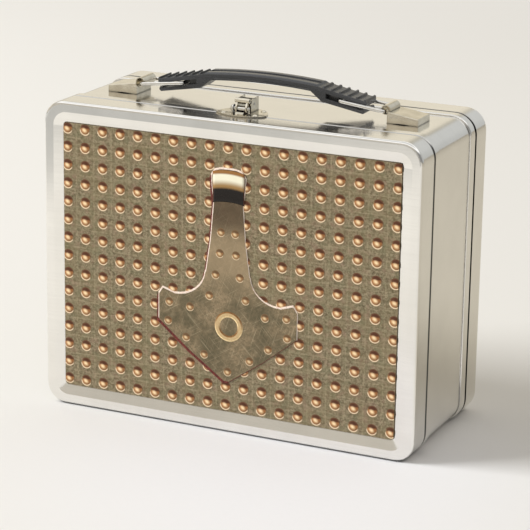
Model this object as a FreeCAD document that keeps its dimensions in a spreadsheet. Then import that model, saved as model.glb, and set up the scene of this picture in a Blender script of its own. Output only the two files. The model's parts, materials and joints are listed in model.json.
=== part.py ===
import FreeCAD, Part
import math
import os
import Sketcher

# Metal lunch box with a hinged front lid, a top latch and a lifting handle.
# Frame: origin at the bottom centre of the footprint, X across the width,
# the lid faces -Y, +Z up. All sizes are in millimetres.

DIMENSIONS = {
    # outer box
    "Width": 222.0,
    "Height": 174.0,
    "Depth": 96.0,
    "CornerRadius": 12.0,
    "Sheet": 0.6,
    # pressed trays: the lid in front and the cover behind
    "SkirtDepth": 16.5,
    "EdgeRadius": 1.8,
    "BorderWidth": 5.8,
    "SlopeWidth": 5.8,
    "RecessDepth": 1.5,
    "SlopeRadius": 8.0,
    "PanelRadius": 2.2,
    "PanelThick": 0.5,
    "NearEdge": 0.1,
    # body band
    "RimGap": 1.2,
    "BeadWidth": 6.8,
    "BeadProud": 1.0,
    "BeadRound": 0.85,
    "NeckInset": 1.3,
    "NeckLength": 8.5,
    # hinge along the bottom front edge
    "HingeLength": 150.0,
    "KnuckleCount": 10.0,
    "KnuckleGap": 0.2,
    "KnuckleRadius": 1.3,
    "HingePinRadius": 0.6,
    "RunningGap": 0.05,
    "LeafWidth": 4.4,
    "RimTrim": 1.7,
    "TrimHalfLength": 105.5,
    # handle brackets
    "BarrelX": 73.3,
    "BarrelRise": 5.8,
    "BarrelRadius": 2.7,
    "BarrelBore": 2.2,
    "BarrelLength": 14.0,
    "PadStart": 1.3,
    "PadEnd": 19.0,
    "PadWidth": 17.0,
    "PadHighRise": 5.2,
    "PadLowRise": 2.7,
    "PadSheet": 0.7,
    "PadRound": 0.45,
    "TabWidth": 3.4,
    "TabReach": 4.2,
    "TabNear": 3.2,
    "TabFar": 15.6,
    "SlotClearance": 0.25,
    "ArchLength": 10.4,
    "ArchHeight": 0.45,
    # wire bails
    "WireRadius": 1.0,
    "WireBend": 1.7,
    "BailLength": 25.9,
    "BailHalfWidth": 8.2,
    "BailStub": 4.4,
    "BailPivotX": 72.45,
    "BailPivotRise": 5.05,
    "BailTilt": 6.6,
    # grip
    "GripWidth": 14.0,
    "GripTopRise": 16.9,
    "GripThick": 4.6,
    "GripRadius": 1.9,
    "GripArch": 335.0,
    "GrooveWidth": 4.2,
    "GrooveDepth": 1.0,
    "GrooveRound": 0.45,
    "UnderRun": 3.68,
    "ForkStart": 34.0,
    "ForkEnd": 61.8,
    "ForkTopStart": 14.2,
    "ForkTopEnd": 8.9,
    "SlotHeight": 2.8,
    "SlotLip": 1.1,
    "SlotFlare": 2.24,
    "SlotSlope": 0.2,
    "SlotEnd": 44.2,
    "SideCutEnd": 38.5,
    "SideCutDepth": 3.2,
    "TongueLow": 6.3,
    "TongueTip": 2.1,
    "RibPitch": 4.9,
    "RibFirst": 36.9,
    "RibWide": 1.1,
    "RibHigh": 1.0,
    # latch
    "LatchHalfWidth": 14.4,
    "CatchReach": 5.6,
    "BaseReach": 15.0,
    "PlateThick": 0.8,
    "PivotY": -23.5,
    "PivotRise": 4.9,
    "PivotRadius": 0.75,
    "LeverHalfWidth": 4.4,
    "CheekThick": 0.8,
    "LeverFront": -28.9,
    "LeverRear": -18.0,
    "LeverTop": 8.0,
    "RollRadius": 1.3,
    "RollBore": 0.7,
    "HookY": -29.6,
    "HookRise": 3.0,
    "HookRadius": 1.2,
    "HookHead": 2.1,
    "HookRim": 0.5,
    "TongueHalfWidth": 2.3,
    "NoseRise": 4.0,
    "RivetX": 9.2,
    "RivetRadius": 0.9,
    "RivetDome": 2.0,
    "RivetSunk": 1.2,
    "RivetTail": 1.36,
    "BaseRivetShift": 1.5,
    "StepInset": 2.4,
    "LeverPlay": 0.2,
    "EarSetback": 1.4,
    "EarTop": 1.6,
    "EarLip": 0.3,
    "EarShoulder": 1.0,
    "EarBrow": 3.1,
    "EarDrop": 0.5,
    "EarCheek": 2.5,
    "HeelReach": 2.4,
    "HeelHalf": 1.4,
    "HeelDrop": 2.7,
    "WebDip": 0.4,
    "WebThick": 0.8,
}
RIB_COUNT = 6
SIDES = {"left": -1, "right": 1}

doc = FreeCAD.newDocument("LunchBox")
sheet = doc.addObject("Spreadsheet::Sheet", "Dim")
for row, (alias, value) in enumerate(DIMENSIONS.items(), start=1):
    sheet.set(f"A{row}", alias)
    sheet.set(f"B{row}", str(value))
    sheet.setAlias(f"B{row}", alias)
doc.recompute()

sub_parts = []


def bound(text):
    """Turns bare dimension names in a formula into references to the sheet."""
    out = ""
    word = ""
    for char in str(text) + " ":
        if char.isalnum() or char == "_":
            word += char
            continue
        out += f"Dim.{word}" if word in DIMENSIONS else word
        out += char
        word = ""
    return out.strip()


def value_of(formula):
    """The number that a formula gives with the sheet's present values."""
    return float(sheet.evalExpression(bound(formula)))


def bind(target, prop, formula):
    """Binds one property of an object to a formula over the sheet."""
    target.setExpression(prop, bound(formula))


def place(target, x="0", y="0", z="0", rotation=None):
    """Gives an object its Placement, with the position bound to the sheet."""
    if rotation is not None:
        target.Placement = FreeCAD.Placement(FreeCAD.Vector(), rotation)
    for axis, formula in (("x", x), ("y", y), ("z", z)):
        bind(target, f"Placement.Base.{axis}", formula)


def finish_part(target, label):
    """Names a finished sub-part and lists it for export."""
    target.Label = label
    sub_parts.append(target)
    return target


# ---------------------------------------------------------------- sketches


def new_body(name):
    body = doc.addObject("PartDesign::Body", name)
    return body


def sketch_on(body, role, name, offset="0"):
    """A sketch on one of the body's origin planes, moved along its normal."""
    plane = next(f for f in body.Origin.OriginFeatures if f.Role == role)
    sketch = body.newObject("Sketcher::SketchObject", name)
    sketch.AttachmentSupport = [(plane, "")]
    sketch.MapMode = "FlatFace"
    bind(sketch, "AttachmentOffset.Base.z", offset)
    return sketch


def constrain_point(sketch, index, end, x, y):
    """Fixes one end of a sketch element at a place given by two formulas."""
    for kind, formula, axis in (("DistanceX", x, -2), ("DistanceY", y, -1)):
        if abs(value_of(formula)) < 1e-9:
            sketch.addConstraint(Sketcher.Constraint("PointOnObject", index, end, axis))
            continue
        number = value_of(formula)
        which = sketch.addConstraint(Sketcher.Constraint(kind, -1, 1, index, end, number))
        bind(sketch, f"Constraints[{which}]", formula)


def outline(sketch, points):
    """A closed outline through points (x, y) or (x, y, radius, side).

    A radius makes the stretch that leaves the point an arc. Side +1 bulges to
    the right of the direction of travel, -1 to the left.
    """
    first = sketch.GeometryCount
    count = len(points)
    flat = [FreeCAD.Vector(value_of(p[0]), value_of(p[1]), 0) for p in points]
    for k, point in enumerate(points):
        start, end = flat[k], flat[(k + 1) % count]
        if len(point) == 2:
            sketch.addGeometry(Part.LineSegment(start, end))
            continue
        radius = value_of(point[2])
        chord = end - start
        right = FreeCAD.Vector(chord.y, -chord.x, 0).normalize()
        rise = radius - math.sqrt(radius**2 - (chord.Length / 2) ** 2)
        middle = (start + end) / 2 + right * (rise * point[3])
        sketch.addGeometry(Part.Arc(start, middle, end))
    for k, point in enumerate(points):
        this, following = first + k, first + (k + 1) % count
        this_end, next_start = 2, 1
        if len(point) > 2 and point[3] < 0:
            this_end = 1
        if len(points[(k + 1) % count]) > 2 and points[(k + 1) % count][3] < 0:
            next_start = 2
        sketch.addConstraint(Sketcher.Constraint("Coincident", this, this_end, following, next_start))
        own_start = 2 if len(point) > 2 and point[3] < 0 else 1
        constrain_point(sketch, this, own_start, point[0], point[1])
        if len(point) > 2:
            which = sketch.addConstraint(Sketcher.Constraint("Radius", this, value_of(point[2])))
            bind(sketch, f"Constraints[{which}]", point[2])


def rounded_rectangle(sketch, half_width, half_height, radius):
    """A rectangle with round corners, centred on the sketch's origin."""
    first = sketch.GeometryCount
    across, up, bend = (value_of(f) for f in (half_width, half_height, radius))
    corners = [(1, -1), (1, 1), (-1, 1), (-1, -1)]
    for k, (sx, sy) in enumerate(corners):
        centre = FreeCAD.Vector(sx * (across - bend), sy * (up - bend), 0)
        begin = math.radians(-90 + 90 * k)
        circle = Part.Circle(centre, FreeCAD.Vector(0, 0, 1), bend)
        sketch.addGeometry(Part.ArcOfCircle(circle, begin, begin + math.pi / 2))
    for k in range(4):
        start = sketch.getPoint(first + k, 2)
        end = sketch.getPoint(first + (k + 1) % 4, 1)
        sketch.addGeometry(Part.LineSegment(start, end))
        sketch.addConstraint(Sketcher.Constraint("Tangent", first + k, 2, first + 4 + k, 1))
        sketch.addConstraint(Sketcher.Constraint("Tangent", first + 4 + k, 2, first + (k + 1) % 4, 1))
    for k in range(3):
        sketch.addConstraint(Sketcher.Constraint("Equal", first, first + k + 1))
    for kind, element in (("Vertical", 4), ("Horizontal", 5), ("Vertical", 6), ("Horizontal", 7)):
        sketch.addConstraint(Sketcher.Constraint(kind, first + element))
    sizes = [
        (Sketcher.Constraint("Radius", first, bend), radius),
        (Sketcher.Constraint("DistanceX", -1, 1, first + 4, 1, across), half_width),
        (Sketcher.Constraint("DistanceX", first + 6, 1, -1, 1, across), half_width),
        (Sketcher.Constraint("DistanceY", -1, 1, first + 5, 1, up), half_height),
        (Sketcher.Constraint("DistanceY", first + 7, 1, -1, 1, up), half_height),
    ]
    for constraint, formula in sizes:
        which = sketch.addConstraint(constraint)
        bind(sketch, f"Constraints[{which}]", formula)


def circle(sketch, x, y, radius):
    """A circle whose centre and radius are bound to formulas."""
    middle = FreeCAD.Vector(value_of(x), value_of(y), 0)
    index = sketch.addGeometry(Part.Circle(middle, FreeCAD.Vector(0, 0, 1), value_of(radius)))
    constrain_point(sketch, index, 3, x, y)
    which = sketch.addConstraint(Sketcher.Constraint("Radius", index, value_of(radius)))
    bind(sketch, f"Constraints[{which}]", radius)


# ---------------------------------------------------------------- features


def pad(body, sketch, length, midplane=False):
    feature = body.newObject("PartDesign::Pad", sketch.Name + "Pad")
    feature.Profile = sketch
    bind(feature, "Length", length)
    feature.Midplane = midplane
    return feature


def pocket(body, sketch, length, midplane=False, backwards=False):
    """Cuts a sketch into the body, and checks that it took material away."""
    doc.recompute()
    before = body.Shape.Volume
    feature = body.newObject("PartDesign::Pocket", sketch.Name + "Cut")
    feature.Profile = sketch
    bind(feature, "Length", length)
    feature.Midplane = midplane
    feature.Reversed = backwards
    doc.recompute()
    if body.Shape.Volume > before - 1e-6:
        raise RuntimeError(f"{feature.Name} cut nothing")
    return feature


def round_edges(body, radius, wanted):
    """Rounds the edges of the body's tip that the test picks out."""
    doc.recompute()
    tip = body.Tip
    names = [f"Edge{k + 1}" for k, edge in enumerate(tip.Shape.Edges) if wanted(edge)]
    feature = body.newObject("PartDesign::Fillet", body.Name + "Round")
    feature.Base = (tip, names)
    bind(feature, "Radius", radius)
    doc.recompute()
    return feature


def on_plane(axis, level):
    """A test for edges that lie in the plane where one coordinate is level."""

    def test(edge):
        box = edge.BoundBox
        low = getattr(box, axis + "Min")
        high = getattr(box, axis + "Max")
        return abs(low - level) < 1e-3 and abs(high - level) < 1e-3

    return test


# ---------------------------------------------------------------- plain solids


def box(name, x, y, z):
    """A box between two places on each axis, all six given as formulas."""
    solid = doc.addObject("Part::Box", name)
    for prop, (low, high) in (("Length", x), ("Width", y), ("Height", z)):
        bind(solid, prop, f"({high}) - ({low})")
    place(solid, x[0], y[0], z[0])
    return solid


def rod(name, radius, axis, low, high, x="0", y="0", z="0"):
    """A cylinder along one axis from low to high, through the given place."""
    solid = doc.addObject("Part::Cylinder", name)
    bind(solid, "Radius", radius)
    bind(solid, "Height", f"({high}) - ({low})")
    turns = {
        "x": FreeCAD.Rotation(FreeCAD.Vector(0, 1, 0), 90),
        "y": FreeCAD.Rotation(FreeCAD.Vector(1, 0, 0), -90),
        "z": FreeCAD.Rotation(),
    }
    where = {"x": x, "y": y, "z": z}
    where[axis] = low
    place(solid, where["x"], where["y"], where["z"], turns[axis])
    return solid


def fuse(name, solids):
    joined = doc.addObject("Part::MultiFuse", name)
    joined.Shapes = solids
    joined.Refine = False
    return joined


def cut(name, base, tools):
    result = doc.addObject("Part::Cut", name)
    result.Base = base
    result.Tool = tools[0] if len(tools) == 1 else fuse(name + "Tools", tools)
    result.Refine = False
    return result


def group(name, solids):
    """Several separate solids kept as one sub-part."""
    together = doc.addObject("Part::Compound", name)
    together.Links = solids
    return together


# ---------------------------------------------------------------- shells

CENTRE_Z = "Height / 2"
RIM = "Depth / 2 - SkirtDepth"
BEAD_FACE = f"{RIM} - RimGap"
BEAD_BACK = f"{BEAD_FACE} - BeadWidth"
NECK_END = f"{RIM} + NeckLength"
BAND_TOP = "Height - BeadProud"
HINGE_Y = f"-({RIM}) + RimGap / 2"


def slab(body, name, inset, start, end, pierced=False):
    """Adds or cuts a slab with the box's outline, inset, from start to end.

    Start and end are distances in front of the mid-plane.
    """
    sketch = sketch_on(body, "XZ_Plane", name, end if pierced else start)
    rounded_rectangle(
        sketch,
        f"Width / 2 - ({inset})",
        f"Height / 2 - ({inset})",
        f"CornerRadius - ({inset})",
    )
    if pierced:
        return pocket(body, sketch, f"({end}) - ({start})")
    return pad(body, sketch, f"({end}) - ({start})")


def hinge_trim(name, near, far):
    """The strip cut out of a bottom rim so that the hinge knuckles fit."""
    return box(
        name,
        ("-TrimHalfLength", "TrimHalfLength"),
        (near, far),
        ("-Sheet", "CornerRadius / 4"),
    )


def tray(name, label, front):
    """A pressed tray: skirt, rounded edge, flat border, slope and flat panel."""
    body = new_body(name)
    outer = sketch_on(body, "XZ_Plane", name + "Outer", RIM)
    rounded_rectangle(outer, "Width / 2", "Height / 2", "CornerRadius")
    pad(body, outer, "SkirtDepth")
    face = -value_of("Depth / 2")
    round_edges(body, "EdgeRadius", on_plane("Y", face))

    mouth = sketch_on(body, "XZ_Plane", name + "Mouth", "Depth / 2")
    rounded_rectangle(mouth, "Width / 2 - BorderWidth", "Height / 2 - BorderWidth", "SlopeRadius")
    floor = sketch_on(body, "XZ_Plane", name + "Floor", "Depth / 2 - RecessDepth")
    floor_inset = "(BorderWidth + SlopeWidth)"
    rounded_rectangle(
        floor,
        f"Width / 2 - {floor_inset}",
        f"Height / 2 - {floor_inset}",
        "PanelRadius",
    )
    recess = body.newObject("PartDesign::SubtractiveLoft", name + "Recess")
    recess.Profile = mouth
    recess.Sections = [floor]
    recess.Ruled = True
    doc.recompute()

    step = "RecessDepth + Sheet"
    slab(body, name + "Hollow", "Sheet", RIM, f"Depth / 2 - ({step})", pierced=True)
    ring = sketch_on(body, "XZ_Plane", name + "Ring", "Depth / 2 - Sheet")
    ring_inset = "EdgeRadius - Sheet"
    rounded_rectangle(
        ring,
        f"Width / 2 - ({ring_inset})",
        f"Height / 2 - ({ring_inset})",
        f"CornerRadius - ({ring_inset})",
    )
    inner_inset = "BorderWidth - Sheet"
    rounded_rectangle(
        ring,
        f"Width / 2 - ({inner_inset})",
        f"Height / 2 - ({inner_inset})",
        "SlopeRadius + Sheet",
    )
    pocket(body, ring, "RecessDepth")
    if front:
        place(body, z=CENTRE_Z)
        trim = hinge_trim("LidTrim", f"{HINGE_Y} - RimTrim", f"{HINGE_Y} + RimTrim")
        holes = rivet_holes("LidRivetHole", CATCH_RIVET_Y, "Height - CornerRadius / 2", "Height")
        return finish_part(cut("FrontLid", body, [trim] + holes), label)
    half_turn = FreeCAD.Rotation(FreeCAD.Vector(0, 0, 1), 180)
    place(body, z=CENTRE_Z, rotation=half_turn)
    return finish_part(body, label)


def body_band():
    """The ring of sheet between the trays, with two beads and two necks."""
    body = new_body("Band")
    slab(body, "BandMiddle", "BeadProud", f"-({BEAD_BACK})", BEAD_BACK)
    slab(body, "BandFrontBead", "0", BEAD_BACK, BEAD_FACE)
    slab(body, "BandRearBead", "0", f"-({BEAD_FACE})", f"-({BEAD_BACK})")
    slab(body, "BandFrontNeck", "NeckInset", BEAD_FACE, NECK_END)
    slab(body, "BandRearNeck", "NeckInset", f"-({NECK_END})", f"-({BEAD_FACE})")
    bead_levels = [value_of(f) for f in (BEAD_FACE, BEAD_BACK)]

    def bead_edge(edge):
        across = edge.BoundBox
        flat = abs(across.YMax - across.YMin) < 1e-3
        at_bead = any(abs(abs(across.YMax) - level) < 1e-3 for level in bead_levels)
        reach = max(abs(v.X) for v in edge.Vertexes)
        rise = max(abs(v.Z) for v in edge.Vertexes)
        outermost = reach > value_of("Width / 2 - NearEdge") or rise > value_of("Height / 2 - NearEdge")
        return flat and at_bead and outermost

    round_edges(body, "BeadRound", bead_edge)
    wall = "Sheet"
    inner_start = f"{BEAD_BACK} + {wall}"
    inner_end = f"{BEAD_FACE} - {wall}"
    slab(body, "BandHollow", f"NeckInset + {wall}", f"-({NECK_END})", NECK_END, pierced=True)
    slab(body, "BandMiddleHollow", f"BeadProud + {wall}", f"-({inner_end})", inner_end, pierced=True)
    slab(body, "BandFrontChannel", wall, inner_start, inner_end, pierced=True)
    slab(body, "BandRearChannel", wall, f"-({inner_end})", f"-({inner_start})", pierced=True)
    place(body, z=CENTRE_Z)

    holes = [hinge_trim("BandTrim", f"-({NECK_END}) - RimGap", f"{HINGE_Y} + RimTrim")]
    holes.append(
        box(
            "NeckNotch",
            ("-LatchHalfWidth", "LatchHalfWidth"),
            (f"-({NECK_END}) - RimGap", f"-({BEAD_FACE}) - RimGap"),
            ("Height - CornerRadius / 2", "Height + Sheet"),
        )
    )
    for side, sign in SIDES.items():
        for k, along in enumerate(("TabNear", "TabFar")):
            for wall_side in (-1, 1):
                holes.append(tab_slot(f"BandSlot{side}{k}{wall_side + 1}", sign, along, wall_side))
    holes += rivet_holes("BandRivetHole", BASE_RIVET_Y, "Height - CornerRadius / 2", "Height")
    return finish_part(cut("BodyBand", body, holes), "body_band")


def tab_slot(name, sign, along, wall_side):
    """A slot in the top sheet for one bracket tab."""
    centre_x = f"{sign} * (BarrelX + {along})"
    centre_y = f"{wall_side} * (PadWidth - PadSheet) / 2"
    half_x = "(TabWidth / 2 + SlotClearance)"
    half_y = "(PadSheet / 2 + SlotClearance)"
    return box(
        name,
        (f"{centre_x} - {half_x}", f"{centre_x} + {half_x}"),
        (f"{centre_y} - {half_y}", f"{centre_y} + {half_y}"),
        ("Height - CornerRadius / 2", "Height"),
    )


def picture_panel():
    """The flat printed sheet that fills the recess of the lid."""
    body = new_body("Panel")
    sketch = sketch_on(body, "XZ_Plane", "PanelOutline", "Depth / 2 - RecessDepth")
    inset = "(BorderWidth + SlopeWidth + RunningGap)"
    rounded_rectangle(
        sketch,
        f"Width / 2 - {inset}",
        f"Height / 2 - {inset}",
        "PanelRadius",
    )
    pad(body, sketch, "PanelThick")
    place(body, z=CENTRE_Z)
    return finish_part(body, "picture_panel")


# ---------------------------------------------------------------- hinge


def hinge_leaf(name, label, first, towards):
    """One leaf of the hinge: a plate with every second knuckle rolled onto it.

    first is 0 or 1, the first knuckle it owns. towards is +1 for the leaf on
    the band and -1 for the leaf on the lid.
    """
    plate_near = f"{HINGE_Y} + {towards} * (KnuckleRadius + KnuckleGap)"
    plate_far = f"{HINGE_Y} + {towards} * (KnuckleRadius + KnuckleGap + LeafWidth)"
    edges = (plate_near, plate_far) if towards > 0 else (plate_far, plate_near)
    pieces = [box(name + "Plate", ("-HingeLength / 2", "HingeLength / 2"), edges, ("Sheet", "2 * Sheet"))]
    pitch = "HingeLength / KnuckleCount"
    for k in range(first, int(DIMENSIONS["KnuckleCount"]), 2):
        low = f"-HingeLength / 2 + {k} * {pitch} + KnuckleGap / 2"
        high = f"-HingeLength / 2 + {k + 1} * {pitch} - KnuckleGap / 2"
        pieces.append(
            rod(f"{name}Knuckle{k}", "KnuckleRadius", "x", low, high, y=HINGE_Y, z="KnuckleRadius")
        )
        web = (HINGE_Y, plate_near) if towards > 0 else (plate_near, HINGE_Y)
        pieces.append(box(f"{name}Web{k}", (low, high), web, ("Sheet", "2 * Sheet")))
    bore = rod(
        name + "Bore",
        "HingePinRadius + RunningGap",
        "x",
        "-HingeLength",
        "HingeLength",
        y=HINGE_Y,
        z="KnuckleRadius",
    )
    return finish_part(cut(name, fuse(name + "Solid", pieces), [bore]), label)


def hinge_pin():
    pin = rod(
        "HingePin",
        "HingePinRadius",
        "x",
        "-HingeLength / 2",
        "HingeLength / 2",
        y=HINGE_Y,
        z="KnuckleRadius",
    )
    return finish_part(pin, "hinge_pin")


# ---------------------------------------------------------------- carrying handle


def turned(sign):
    """No turn for the right-hand piece, half a turn about Z for the left."""
    return FreeCAD.Rotation(FreeCAD.Vector(0, 0, 1), 0 if sign > 0 else 180)


def handle_bracket(side, sign):
    """A folded sheet pad with a rolled barrel and four bent tabs.

    Its own X runs outwards from the barrel's axis, and Z = 0 is the band's top.
    """
    body = new_body("Bracket" + side)
    rise = "BeadProud"
    shell = sketch_on(body, "XZ_Plane", f"Pad{side}")
    outline(
        shell,
        [
            ("PadStart", "0"),
            ("PadEnd", "0"),
            ("PadEnd", f"PadLowRise + {rise}"),
            ("PadStart", f"PadHighRise + {rise}"),
        ],
    )
    pad(body, shell, "PadWidth", midplane=True)
    top_levels = (value_of(f"PadLowRise + {rise}"), value_of(f"PadHighRise + {rise}"))
    doc.recompute()

    def top_edge(edge):
        return edge.BoundBox.ZMin > min(top_levels) - 1e-3

    round_edges(body, "PadRound", top_edge)
    hollow = sketch_on(body, "XZ_Plane", f"PadHollow{side}")
    outline(
        hollow,
        [
            ("PadStart + PadSheet", "0"),
            ("PadEnd - PadSheet", "0"),
            ("PadEnd - PadSheet", f"PadLowRise + {rise} - PadSheet"),
            ("PadStart + PadSheet", f"PadHighRise + {rise} - PadSheet"),
        ],
    )
    pocket(body, hollow, "PadWidth - 2 * PadSheet", midplane=True)
    barrel = sketch_on(body, "XZ_Plane", f"Barrel{side}")
    circle(barrel, "0", f"BarrelRise + {rise}", "BarrelRadius")
    pad(body, barrel, "BarrelLength", midplane=True)
    bore = sketch_on(body, "XZ_Plane", f"BarrelBore{side}")
    circle(bore, "0", f"BarrelRise + {rise}", "BarrelBore")
    pocket(body, bore, "PadWidth", midplane=True)
    arch = sketch_on(body, "XZ_Plane", f"Arch{side}")
    arch_radius = "(ArchLength ^ 2 / 4 + ArchHeight ^ 2) / (2 * ArchHeight)"
    middle = "(TabNear + TabFar) / 2"
    outline(
        arch,
        [
            (f"{middle} - ArchLength / 2", "0"),
            (f"{middle} + ArchLength / 2", "0", arch_radius, 1),
        ],
    )
    pocket(body, arch, "PadWidth", midplane=True)
    place(body, f"{sign} * BarrelX", "0", BAND_TOP, turned(sign))

    pieces = [body]
    drop = "(2 * Sheet + PadSheet)"
    for k, along in enumerate(("TabNear", "TabFar")):
        for wall_side in (-1, 1):
            centre = f"{sign} * (BarrelX + {along})"
            across = (f"{centre} - TabWidth / 2", f"{centre} + TabWidth / 2")
            outside = f"{wall_side} * PadWidth / 2"
            inside = f"{wall_side} * (PadWidth / 2 - PadSheet)"
            tip = f"{wall_side} * (PadWidth / 2 - TabReach)"
            wall = (outside, inside) if wall_side < 0 else (inside, outside)
            foot = (outside, tip) if wall_side < 0 else (tip, outside)
            name = f"Tab{side}{k}{wall_side + 1}"
            pieces.append(box(name + "Leg", across, wall, (f"{BAND_TOP} - {drop}", BAND_TOP)))
            under = (f"{BAND_TOP} - {drop}", f"{BAND_TOP} - 2 * Sheet")
            pieces.append(box(name + "Foot", across, foot, under))
    return finish_part(fuse(f"HandleBracket{side}", pieces), f"handle_bracket_{side}")


def backing_plate(side, sign):
    """The plate under the top sheet that a bracket's tabs are folded over."""
    ends = [f"{sign} * (BarrelX + PadStart)", f"{sign} * (BarrelX + PadEnd)"]
    if sign < 0:
        ends.reverse()
    plate = box(
        f"Backing{side}Plate",
        ends,
        ("-PadWidth / 2 - PadSheet", "PadWidth / 2 + PadSheet"),
        (f"{BAND_TOP} - 2 * Sheet", f"{BAND_TOP} - Sheet"),
    )
    slots = [
        tab_slot(f"BackingSlot{side}{k}{wall_side + 1}", sign, along, wall_side)
        for k, along in enumerate(("TabNear", "TabFar"))
        for wall_side in (-1, 1)
    ]
    return finish_part(cut(f"Backing{side}", plate, slots), f"backing_plate_{side}")


def bail(side, sign):
    """A wire loop: stubs in the barrel, two legs, and a bar inside the grip."""
    body = new_body("Bail" + side)
    path = sketch_on(body, "XY_Plane", f"BailPath{side}")
    reach = f"{-sign} * BailLength"
    corners = [(reach, "-BailHalfWidth"), (reach, "BailHalfWidth")]
    root = [("0", "-BailHalfWidth"), ("0", "BailHalfWidth")]
    stubs = [("0", "-BailStub"), ("0", "BailStub")]
    bent_path(path, [stubs[0], root[0], *corners, root[1], stubs[1]], "WireBend")
    section = sketch_on(body, "XZ_Plane", f"BailSection{side}", "BailStub")
    circle(section, "0", "0", "WireRadius")
    wire = body.newObject("PartDesign::AdditivePipe", f"BailWire{side}")
    wire.Profile = section
    wire.Spine = (path, [])
    doc.recompute()
    tilt = FreeCAD.Rotation(FreeCAD.Vector(0, sign, 0), value_of("BailTilt"))
    place(body, f"{sign} * BailPivotX", "0", "Height + BailPivotRise", tilt)
    bind(body, "Placement.Rotation.Angle", "BailTilt")
    return finish_part(body, f"bail_{side}")


def step_between(start, end):
    """Which way an axis-parallel stretch runs, as -1, 0 or +1 on each axis."""
    moves = [value_of(b) - value_of(a) for a, b in zip(start, end)]
    return [0 if abs(move) < 1e-9 else int(math.copysign(1, move)) for move in moves]


def bent_path(sketch, points, bend):
    """An open path of axis-parallel stretches with a round bend between them."""
    stretches = []
    for k in range(len(points) - 1):
        way = step_between(points[k], points[k + 1])
        start, end = points[k], points[k + 1]
        if k > 0:
            start = tuple(f"{c} + {w} * {bend}" for c, w in zip(start, way))
        if k < len(points) - 2:
            end = tuple(f"{c} - {w} * {bend}" for c, w in zip(end, way))
        stretches.append((start, end))
    for start, end in stretches:
        ends = [FreeCAD.Vector(value_of(p[0]), value_of(p[1]), 0) for p in (start, end)]
        line = sketch.addGeometry(Part.LineSegment(*ends))
        constrain_point(sketch, line, 1, *start)
        constrain_point(sketch, line, 2, *end)
    radius = value_of(bend)
    for k in range(len(stretches) - 1):
        enter = sketch.getPoint(k, 2)
        leave = sketch.getPoint(k + 1, 1)
        corner = FreeCAD.Vector(*(value_of(c) for c in points[k + 1]), 0)
        centre = enter + leave - corner
        middle = centre + (corner - centre).normalize() * radius
        arc = sketch.addGeometry(Part.Arc(enter, middle, leave))
        turns_left = (sketch.getPoint(arc, 1) - enter).Length < 1e-6
        first_end, second_end = (1, 2) if turns_left else (2, 1)
        sketch.addConstraint(Sketcher.Constraint("Coincident", k, 2, arc, first_end))
        sketch.addConstraint(Sketcher.Constraint("Coincident", k + 1, 1, arc, second_end))
        which = sketch.addConstraint(Sketcher.Constraint("Radius", arc, radius))
        bind(sketch, f"Constraints[{which}]", bend)


def fork_top(distance):
    """Height of a fork's upper slope above the box top, at a distance out."""
    slope = "(ForkTopStart - ForkTopEnd) / (ForkEnd - ForkStart)"
    return f"ForkTopStart - ({distance} - ForkStart) * {slope}"


def slot_level(distance, above):
    """Height of the slot's wall above the box top, at a distance out."""
    middle = "BailPivotRise + BailLength * sin(BailTilt * 1 deg)"
    bar = "(BailPivotX - BailLength * cos(BailTilt * 1 deg))"
    return f"{middle} - SlotSlope * ({distance} - {bar}) + {above}"


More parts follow.
